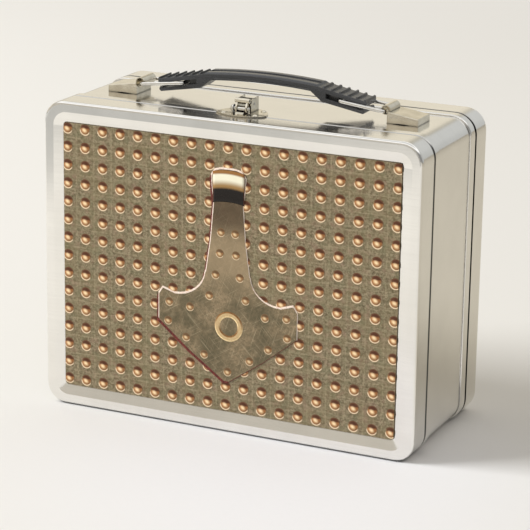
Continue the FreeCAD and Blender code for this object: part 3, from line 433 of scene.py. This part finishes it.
def printed_studs(name, dull):
    """Brass studs: brown above, a straw highlight in the middle, a wide cream lower rim."""
    material, g = new_material(name)
    ground, place = print_colours(g)
    local = g.split(g.add("ShaderNodeUVMap", uv_map="stud").outputs[0])
    u, v = local[0], local[1]
    reach = g.length(u, v)
    body = g.mix(g.ramp(v, -0.7, 0.1), STUD_LOWER, STUD_MIDDLE)
    body = g.mix(g.ramp(v, 0.12, 0.42), body, STUD_UPPER)
    body = g.mix(g.ramp(v, 0.5, 0.85, 0.0, 0.5), body, STUD_CROWN)
    off_x = g.math("MULTIPLY", g.math("ADD", u, 0.03), 0.8)
    off_z = g.math("ADD", g.math("ADD", v, 0.04), g.math("MULTIPLY", u, 0.25))
    body = g.mix(g.ramp(g.length(off_x, off_z), 0.50, 0.06), body, STUD_GLOW)
    edge_dark = g.math("MULTIPLY", g.ramp(reach, 0.58, 0.72), g.ramp(v, 0.0, -0.4, 0.0, 0.8))
    body = g.mix(edge_dark, body, STUD_FOOT)
    tilted = g.math("ADD", v, g.math("MULTIPLY", u, 0.22))
    rim = g.mix(g.ramp(tilted, 0.0, -0.45), RIM_SIDE, RIM_LOWER)
    rim = g.mix(g.ramp(tilted, 0.15, 0.5), rim, RIM_UPPER)
    colour = g.mix(g.ramp(reach, 0.74, 0.82), body, rim)
    colour = g.mix(g.ramp(reach, 0.93, 1.0), colour, ground)
    if dull:
        colour = g.mix(0.3, colour, STUD_DULL)
    print_surface(g, colour, place, 0.34)
    return material


# ---------------------------------------------------------------- emblem

EMBLEM_X = PANEL_MID_X + 1.2 * MM
EMBLEM_RISE = 0.62 * MM
EMBLEM_BEVEL = 0.42 * MM
EMBLEM_STUD_RADIUS = 2.55 * MM
EMBLEM_STUD_HEIGHT = 0.34 * MM
EDGE_BEVEL = 0.25 * MM
DARK_EDGE_RISE = 0.50 * MM
PALE_EDGE_RISE = 0.56 * MM
EMBLEM_DARK_SHIFT = Vector((-1.2, 0.0, -1.0)) * MM
EMBLEM_PALE_SHIFT = Vector((-0.35, 0.0, 0.75)) * MM
RING_X = EMBLEM_X + 1.0 * MM
RING_Z = 60.5 * MM
RING_SIDES = 64
FOLD_HALF_WIDTH = 9.4 * MM
FOLD_CROWN = 1.2 * MM
FOLD_CROWN_REACH = 10.0 * MM
FOLD_STEPS = 12

# Sections in millimetres: the ring's as (radius, rise), the fold's as (height, rise).
RING_SECTION = [(8.4, 0.0), (7.6, 0.34), (6.0, 0.34), (5.2, 0.0)]
FOLD_SECTION = [(146.0, 0.0), (145.8, 0.2), (144.4, 0.36), (142.0, 0.4), (139.4, 0.34), (137.4, 0.14),
                (135.0, 0.08), (130.6, 0.08), (129.2, 0.12), (128.6, 0.0)]

# Half of the hammer's outline, in millimetres from its centre line and from the base: the top and
# neck, an elliptical arc in equal turns in degrees, and the head.
CREST = [(0.1, 147.8), (4.6, 147.6)]
NECK = [(8.2, 146.6), (10.2, 143.6), (10.0, 139.0), (8.8, 128.0), (10.4, 108.0), (13.0, 90.0)]
SHOULDER_CENTRE = (31.0, 90.5)
SHOULDER_RADII = (17.6, 15.6)
SHOULDER_TURNS = [184 + 11 * step for step in range(9)]
HEAD = [(39.0, 77.2), (41.4, 73.6), (41.4, 58.8), (22.5, 43.6), (1.6, 29.0)]

# The small studs, in pairs at this distance from the centre line and height above the base.
STUD_PAIRS = [(4.2, 112.6), (4.8, 100.8), (7.2, 88.6), (10.8, 76.4), (22.4, 68.4), (35.0, 69.6), (35.6, 58.8),
              (24.6, 50.8), (13.6, 42.6)]
LOWEST_STUD = (0.6, 34.6)

BRASS_DARK = linear(98, 88, 64)
BRASS_PALE = linear(150, 130, 100)
BRASS_SPECK = linear(84, 76, 54)
BRASS_SCRATCH = linear(186, 170, 138)
BRASS_WARM = linear(168, 146, 114)
BRASS_DUSK = linear(82, 64, 46)
EDGE_BRIGHT = linear(255, 240, 228)
EDGE_DARK = linear(120, 52, 44)
WINE_DARK = linear(84, 34, 32)
WINE_PALE = linear(122, 56, 48)
CREAM_DARK = linear(232, 206, 188)
CREAM_PALE = linear(250, 234, 218)
FOLD_BELOW = linear(150, 128, 88)
FOLD_HOLLOW = linear(24, 17, 13)
FOLD_TAN = linear(160, 124, 74)
FOLD_CREST = linear(244, 238, 212)
FOLD_BACK = linear(150, 106, 60)
FOLD_TOP = linear(74, 32, 26)
FOLD_SIDE = linear(120, 70, 50)
RING_UPPER = linear(122, 84, 46)
RING_LOWER = linear(252, 226, 172)
RING_SPECK = linear(186, 138, 84)


def hammer_outline():
    """A plain hammer head and neck, mirrored about its own centre line, in metres."""
    right = CREST + NECK
    for degrees in SHOULDER_TURNS:
        turn = math.radians(degrees)
        right.append((SHOULDER_CENTRE[0] + SHOULDER_RADII[0] * math.cos(turn),
                      SHOULDER_CENTRE[1] + SHOULDER_RADII[1] * math.sin(turn)))
    right += HEAD
    left = [(-x, z) for x, z in reversed(right)]
    return [(EMBLEM_X + x * MM, z * MM) for x, z in right + left]


def outline_piece(name, points, base_y, rise, bevel):
    """A flat plate with a rounded edge, standing off the panel."""
    bm = bmesh.new()
    front = [bm.verts.new((x, base_y - rise, z)) for x, z in points]
    face = bm.faces.new(front)
    solid = bmesh.ops.extrude_face_region(bm, geom=[face])
    moved = [v for v in solid["geom"] if isinstance(v, bmesh.types.BMVert)]
    bmesh.ops.translate(bm, verts=moved, vec=(0, rise, 0))
    bmesh.ops.recalc_face_normals(bm, faces=bm.faces[:])
    rim = [e for e in bm.edges if all(abs(v.co.y - (base_y - rise)) < 1e-7 for v in e.verts)]
    bmesh.ops.bevel(bm, geom=rim, offset=bevel, segments=3, profile=0.6, affect="EDGES")
    return new_piece(name, bm)


def ring_piece(name, base_y):
    """A raised ring in the middle of the hammer's head."""
    bm = bmesh.new()
    rings = []
    for radius_mm, rise_mm in RING_SECTION:
        radius = radius_mm * MM
        ring = []
        for k in range(RING_SIDES):
            turn = 2 * math.pi * k / RING_SIDES
            ring.append(bm.verts.new((RING_X + radius * math.cos(turn), base_y - rise_mm * MM,
                                      RING_Z + radius * math.sin(turn))))
        rings.append(ring)
    for outer, inner in zip(rings, rings[1:] + rings[:1]):
        for k in range(RING_SIDES):
            after = (k + 1) % RING_SIDES
            bm.faces.new((outer[k], outer[after], inner[after], inner[k]))
    bmesh.ops.recalc_face_normals(bm, faces=bm.faces[:])
    return new_piece(name, bm)


def fold_piece(name, base_y):
    """A strip rolled over in front of the neck, crowned across its width."""
    bm = bmesh.new()
    rows = []
    for z_mm, rise_mm in FOLD_SECTION:
        row = []
        for k in range(FOLD_STEPS + 1):
            side = 2 * k / FOLD_STEPS - 1
            bow = FOLD_CROWN * (1 - side * side)
            row.append(bm.verts.new((EMBLEM_X + FOLD_HALF_WIDTH * side, base_y - rise_mm * MM,
                                     z_mm * MM + bow)))
        rows.append(row)
    for above, below in zip(rows, rows[1:] + rows[:1]):
        for k in range(FOLD_STEPS):
            bm.faces.new((above[k], above[k + 1], below[k + 1], below[k]))
    bm.faces.new([row[0] for row in rows])
    bm.faces.new([row[-1] for row in reversed(rows)])
    bmesh.ops.recalc_face_normals(bm, faces=bm.faces[:])
    for face in bm.faces:
        face.smooth = True
    return new_piece(name, bm)


def edge_tint(g, tone, bright, dark):
    """Tints sloping edges: bright where they face up, dark where they face down or left."""
    facing = g.facing()
    side = g.ramp(g.math("MULTIPLY", facing[1], -1.0), 0.985, 0.8)
    low_left = g.ramp(g.math("ADD", g.math("MULTIPLY", facing[0], 0.5), facing[2]), 0.05, -0.25)
    return g.mix(side, tone, g.mix(low_left, bright, dark))


def emblem_metal():
    """Printed old brass: olive-brown, mottled, with fine hair scratches and a warm neck."""
    material, g = new_material("printed_emblem")
    place = g.place()
    z = g.split(place)[2]
    speck = g.noise(place, 700.0, 5.0, 0.78)
    patch = g.noise(place, 62.0, 4.0, 0.65)
    tone = g.mix(g.ramp(patch, 0.34, 0.66), BRASS_DARK, BRASS_PALE)
    tone = g.mix(g.ramp(speck, 0.38, 0.62, 0.0, 0.6), tone, BRASS_SPECK)
    for turn, scale in ((0.55, 1500), (-0.8, 1800), (1.25, 1600)):
        turned = g.add("ShaderNodeMapping", {"Vector": place, "Rotation": (0.0, turn, 0.0)}).outputs[0]
        hair = g.noise(g.stretch(turned, 60, 60, scale), 1.0, 2.0, 0.5)
        tone = g.mix(g.ramp(hair, 0.58, 0.74, 0.0, 0.34), tone, BRASS_SCRATCH)
    warm = g.math("MULTIPLY", g.ramp(z, 72 * MM, 96 * MM), g.ramp(z, 122 * MM, 104 * MM))
    tone = g.mix(g.math("MULTIPLY", warm, 0.6), tone, BRASS_WARM)
    dusk = g.math("MULTIPLY", g.ramp(z, 107 * MM, 120 * MM), g.ramp(speck, 0.3, 0.6, 0.9, 0.65))
    tone = g.mix(dusk, tone, BRASS_DUSK)
    tone = edge_tint(g, tone, EDGE_BRIGHT, EDGE_DARK)
    print_surface(g, tone, place, 0.34)
    return material


def emblem_edge(name, low, high):
    """The plate's printed thickness, in one worn ink."""
    material, g = new_material(name)
    place = g.place()
    speck = g.noise(place, 900.0, 3.0, 0.6)
    print_surface(g, g.mix(g.ramp(speck, 0.35, 0.65), low, high), place, 0.34)
    return material


def emblem_fold():
    """The rolled top of the neck: straw-white crest over a near-black hollow."""
    material, g = new_material("printed_fold")
    place = g.place()
    axes = g.split(place)
    side = g.math("ABSOLUTE", g.math("SUBTRACT", axes[0], EMBLEM_X))
    bow = g.math("MULTIPLY", g.math("POWER", g.math("DIVIDE", side, FOLD_CROWN_REACH), 2.0), FOLD_CROWN)
    z = g.math("ADD", axes[2], bow)
    tone = g.mix(g.ramp(z, 129.2 * MM, 130.0 * MM), FOLD_BELOW, FOLD_HOLLOW)
    tone = g.mix(g.ramp(z, 136.6 * MM, 138.4 * MM), tone, FOLD_TAN)
    tone = g.mix(g.ramp(z, 138.4 * MM, 142.6 * MM), tone, FOLD_CREST)
    tone = g.mix(g.ramp(z, 144.6 * MM, 145.8 * MM), tone, FOLD_BACK)
    tone = g.mix(g.ramp(z, 147.0 * MM, 148.0 * MM), tone, FOLD_TOP)
    tone = g.mix(g.ramp(side, 8.4 * MM, 9.6 * MM, 0.0, 0.6), tone, FOLD_SIDE)
    print_surface(g, tone, place, 0.22)
    return material


def ring_metal():
    """Golden ring, pale where it faces down, brown where it faces up."""
    material, g = new_material("printed_ring")
    place = g.place()
    speck = g.noise(place, 900.0, 3.0, 0.6)
    facing = g.facing()
    tone = g.mix(g.ramp(facing[2], 0.25, -0.25), RING_UPPER, RING_LOWER)
    tone = g.mix(g.ramp(speck, 0.35, 0.65, 0.0, 0.35), tone, RING_SPECK)
    print_surface(g, tone, place, 0.3)
    return material


def emblem_stud_centres():
    """The small studs on the hammer, in pairs about its centre line."""
    places = [(side * x, z) for x, z in STUD_PAIRS for side in (-1, 1)] + [LOWEST_STUD]
    return [(EMBLEM_X + x * MM, z * MM) for x, z in places]


def build_picture():
    """The printed picture as a shallow relief in front of the flat panel, carried by the lid."""
    front_y = PANEL_Y - EMBLEM_RISE
    outline = hammer_outline()
    below = [(x + EMBLEM_DARK_SHIFT.x, z + EMBLEM_DARK_SHIFT.z) for x, z in outline]
    above = [(x + EMBLEM_PALE_SHIFT.x, z + EMBLEM_PALE_SHIFT.z) for x, z in outline]
    pieces = [
        (stud_mesh("picture_studs", stud_grid(), STUD_RADIUS, STUD_HEIGHT, PANEL_Y),
         printed_studs("printed_studs", dull=False)),
        (outline_piece("emblem_dark_edge", below, PANEL_Y, DARK_EDGE_RISE, EDGE_BEVEL),
         emblem_edge("printed_dark_edge", WINE_DARK, WINE_PALE)),
        (outline_piece("emblem_pale_edge", above, PANEL_Y, PALE_EDGE_RISE, EDGE_BEVEL),
         emblem_edge("printed_pale_edge", CREAM_DARK, CREAM_PALE)),
        (outline_piece("emblem_plate", outline, PANEL_Y, EMBLEM_RISE, EMBLEM_BEVEL), emblem_metal()),
        (fold_piece("emblem_fold", front_y), emblem_fold()),
        (ring_piece("emblem_ring", front_y), ring_metal()),
        (stud_mesh("emblem_studs", emblem_stud_centres(), EMBLEM_STUD_RADIUS, EMBLEM_STUD_HEIGHT, front_y),
         printed_studs("printed_small_studs", dull=True)),
    ]
    for piece, material in pieces:
        paint(piece, material)
        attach(piece, "lid")


# ---------------------------------------------------------------- stage

CAMERA_AZIMUTH = 24.65
CAMERA_ELEVATION = 16.34
CAMERA_ROLL = 0.919
CAMERA_LENS = 159.0
CAMERA_SENSOR = 36
CAMERA_NEAR = 0.05
CAMERA_FAR = 20
CAMERA_DISTANCE = 1294.8 * MM
CAMERA_TARGET = Vector((2.97, -3.6, 83.9)) * MM
FLOOR_PIVOT_Y = cad_box[1].y
FLOOR_HALF_SIZE = 30.0
FLOOR_GLOW_X = 0.06
FLOOR_GLOW_Y = -0.10

# Where each change of the floor starts and ends, in metres from the middle of its painted pool of light or
# along its diagonal.
LIGHT_POOL_FADE = (0.02, 0.22)
FLOOR_RUNS_OUT = (1.1, 2.2)
MIRRORED_LEFT_SPAN = (0.48, 0.74)
MIRRORED_RIGHT_SPAN = (-0.05, -0.22)

# Paper tones: its grain inside the painted pool of light, and the darker tone outside it.
PAPER_IN_LIGHT_POOL = (linear(240, 239, 240), linear(243, 242, 243))
PAPER_BEYOND_LIGHT_POOL = linear(235, 233, 228)

# Tones in linear light: the backdrop, the floor as it is and as the metal mirrors it with painted shade, the
# world's own light, and the world as the metal mirrors it.
BACKDROP_TONE = (0.83, 0.80, 0.75, 1)
FLOOR_PLAIN = (1, 1, 1, 1)
FLOOR_MIRRORED_LEFT = (0.52, 0.53, 0.54, 1)
FLOOR_MIRRORED_RIGHT = (0.76, 0.73, 0.66, 1)
FILL_FRONT = (0.56, 0.56, 0.57, 1)
FILL_BACK = (0.53, 0.49, 0.42, 1)
BACK_LOW = (0.82, 0.76, 0.63, 1)
BACK_HIGH = (0.44, 0.42, 0.36, 1)
BACK_MIDDLE = (0.62, 0.63, 0.62, 1)
BACK_RIGHT = (0.50, 0.51, 0.50, 1)
FRONT_LEFT = (0.58, 0.54, 0.47, 1)
FRONT_RIGHT = (0.26, 0.26, 0.26, 1)
OVERHEAD_SIDES = (1.2, 1.2, 1.2, 1)
OVERHEAD_MIDDLE = (0.74, 0.74, 0.73, 1)

KEY_PLACE = (-3.3, -1.6, 2.45)
KEY_TARGET = (0, 0, 0.08)
KEY_SIZE = 2.0
KEY_POWER = 196
KEY_COLOUR = (0.98, 0.99, 1.0)


def build_camera():
    """A long lens from the front right, a little above the box."""
    azimuth, elevation, roll = (math.radians(a) for a in (CAMERA_AZIMUTH, CAMERA_ELEVATION, CAMERA_ROLL))
    back = Vector((math.sin(azimuth) * math.cos(elevation), -math.cos(azimuth) * math.cos(elevation),
                   math.sin(elevation)))
    level = Vector((math.cos(azimuth), math.sin(azimuth), 0))
    up = back.cross(level)
    right = level * math.cos(roll) + up * math.sin(roll)
    top = up * math.cos(roll) - level * math.sin(roll)
    data = bpy.data.cameras.new("camera")
    data.lens = CAMERA_LENS
    data.sensor_width = CAMERA_SENSOR
    data.clip_start = CAMERA_NEAR
    data.clip_end = CAMERA_FAR
    camera = bpy.data.objects.new("camera", data)
    bpy.context.scene.collection.objects.link(camera)
    turn = Matrix((right, top, back)).transposed().to_4x4()
    camera.matrix_world = Matrix.Translation(CAMERA_TARGET + back * CAMERA_DISTANCE) @ turn
    bpy.context.scene.camera = camera


def seen_in_metal(graph):
    """1 for a ray that left a glossy surface, so reflections can be toned apart from the light."""
    return graph.add("ShaderNodeLightPath").outputs["Is Glossy Ray"]


def seen_by_camera(graph):
    """1 for a ray that comes straight from the camera."""
    return graph.add("ShaderNodeLightPath").outputs["Is Camera Ray"]


def floor_material():
    """Matt white paper with a painted pool of light, which runs out into the backdrop; its reflection carries
    painted shade of its own.
    """
    material, g = new_material("floor_paper")
    place = g.place()
    grain = g.noise(place, 300.0, 3.0, 0.6)
    tone = g.mix(grain, *PAPER_IN_LIGHT_POOL)
    axes = g.split(place)
    across = g.math("SUBTRACT", axes[0], FLOOR_GLOW_X)
    along = g.math("ADD", axes[1], FLOOR_PIVOT_Y - FLOOR_GLOW_Y)
    spread = g.length(across, along)
    # Painted pool of light: brightest near the glow, darker farther away.
    tone = g.mix(g.ramp(spread, *LIGHT_POOL_FADE), tone, PAPER_BEYOND_LIGHT_POOL)
    # Painted shade seen only in reflections: the metal mirrors the floor darker to the front left, and darker
    # and warmer to the back right.
    diagonal = g.math("ADD", axes[0], g.math("ADD", axes[1], FLOOR_PIVOT_Y))
    away = g.math("MULTIPLY", diagonal, -math.sqrt(0.5))
    mirrored_shade = g.mix(g.ramp(away, *MIRRORED_LEFT_SPAN), FLOOR_PLAIN, FLOOR_MIRRORED_LEFT)
    mirrored_shade = g.mix(g.ramp(away, *MIRRORED_RIGHT_SPAN), mirrored_shade, FLOOR_MIRRORED_RIGHT)
    shade = g.mix(seen_in_metal(g), FLOOR_PLAIN, mirrored_shade)
    paper = g.add("ShaderNodeBsdfPrincipled", {"Base Color": g.mix(1.0, tone, shade, "MULTIPLY"),
                                               "Roughness": 0.8, "Specular IOR Level": 0.1})
    haze = g.add("ShaderNodeEmission", {"Color": BACKDROP_TONE})
    far = g.math("MULTIPLY", g.ramp(spread, *FLOOR_RUNS_OUT), seen_by_camera(g))
    surface = g.add("ShaderNodeMixShader", {0: far, 1: paper.outputs[0], 2: haze.outputs[0]})
    g.add("ShaderNodeOutputMaterial", {"Surface": surface.outputs[0]})
    return material


def build_floor():
    """A flat floor at rest. An open lid reaches below the base, so the floor hinges about the
    rear bottom edge and is aimed at the lid's front bottom edge, as if the box leaned back on it."""
    bm = bmesh.new()
    bmesh.ops.create_grid(bm, x_segments=8, y_segments=8, size=FLOOR_HALF_SIZE)
    floor = new_piece("floor", bm)
    floor.location = (0, FLOOR_PIVOT_Y, cad_box[0].z)
    paint(floor, floor_material())
    mark = bpy.data.objects.new("floor_mark", None)
    bpy.context.scene.collection.objects.link(mark)
    mark.location = (0, cad_box[0].y, cad_box[0].z)
    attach(mark, "lid")
    aim = floor.constraints.new("DAMPED_TRACK")
    aim.target = mark
    aim.track_axis = "TRACK_NEGATIVE_Y"


def build_world():
    """Soft fill, warmer from behind; what the metal mirrors is toned by direction."""
    world = bpy.data.worlds.new("studio")
    bpy.context.scene.world = world
    world.use_nodes = True
    g = Graph(world.node_tree)
    way = g.split(g.add("ShaderNodeTexCoord").outputs["Generated"])
    x, y, z = way[0], way[1], way[2]
    fill = g.mix(g.ramp(y, -0.7, 0.5), FILL_FRONT, FILL_BACK)
    behind = g.mix(g.ramp(z, 0.30, 0.42), BACK_LOW, BACK_HIGH)
    behind = g.mix(g.ramp(x, -0.16, 0.04), behind, BACK_MIDDLE)
    behind = g.mix(g.ramp(x, 0.30, 0.46), behind, BACK_RIGHT)
    ahead = g.mix(g.ramp(x, -0.1, 0.5), FRONT_LEFT, FRONT_RIGHT)
    low = g.mix(g.ramp(y, -0.35, 0.35), ahead, behind)
    high = g.mix(g.ramp(z, 0.80, 0.92), OVERHEAD_SIDES, OVERHEAD_MIDDLE)
    seen = g.mix(g.ramp(z, 0.50, 0.72), low, high)
    tone = g.mix(seen_in_metal(g), fill, seen)
    tone = g.mix(seen_by_camera(g), tone, BACKDROP_TONE)
    shader = g.add("ShaderNodeBackground", {"Color": tone, "Strength": 1.0})
    g.add("ShaderNodeOutputWorld", {"Surface": shader.outputs[0]})


def build_key_light():
    """One broad soft light, high on the left, that the metal doesn't mirror."""
    data = bpy.data.lights.new("key", "AREA")
    data.shape = "SQUARE"
    data.size = KEY_SIZE
    data.energy = KEY_POWER
    data.color = KEY_COLOUR
    light = bpy.data.objects.new("key", data)
    bpy.context.scene.collection.objects.link(light)
    light.location = KEY_PLACE
    light.rotation_mode = "QUATERNION"
    light.rotation_quaternion = (Vector(KEY_TARGET) - Vector(KEY_PLACE)).to_track_quat("-Z", "Y")
    light.visible_glossy = False


finish_of = {
    "tin_plate": tin_plate(),
    "nickel_sheet": nickel_sheet(),
    "bright_wire": bright_wire(),
    "zinc_sheet": zinc_sheet(),
    "black_plastic": black_plastic(),
    "printed_panel": printed_ground(),
}
for entry in frame["record"]["subparts"]:
    paint(nodes[entry["node"]], finish_of[entry["material_slot"]])

build_picture()
build_floor()
build_world()
build_key_light()
build_camera()
bpy.context.scene.view_settings.view_transform = "Standard"
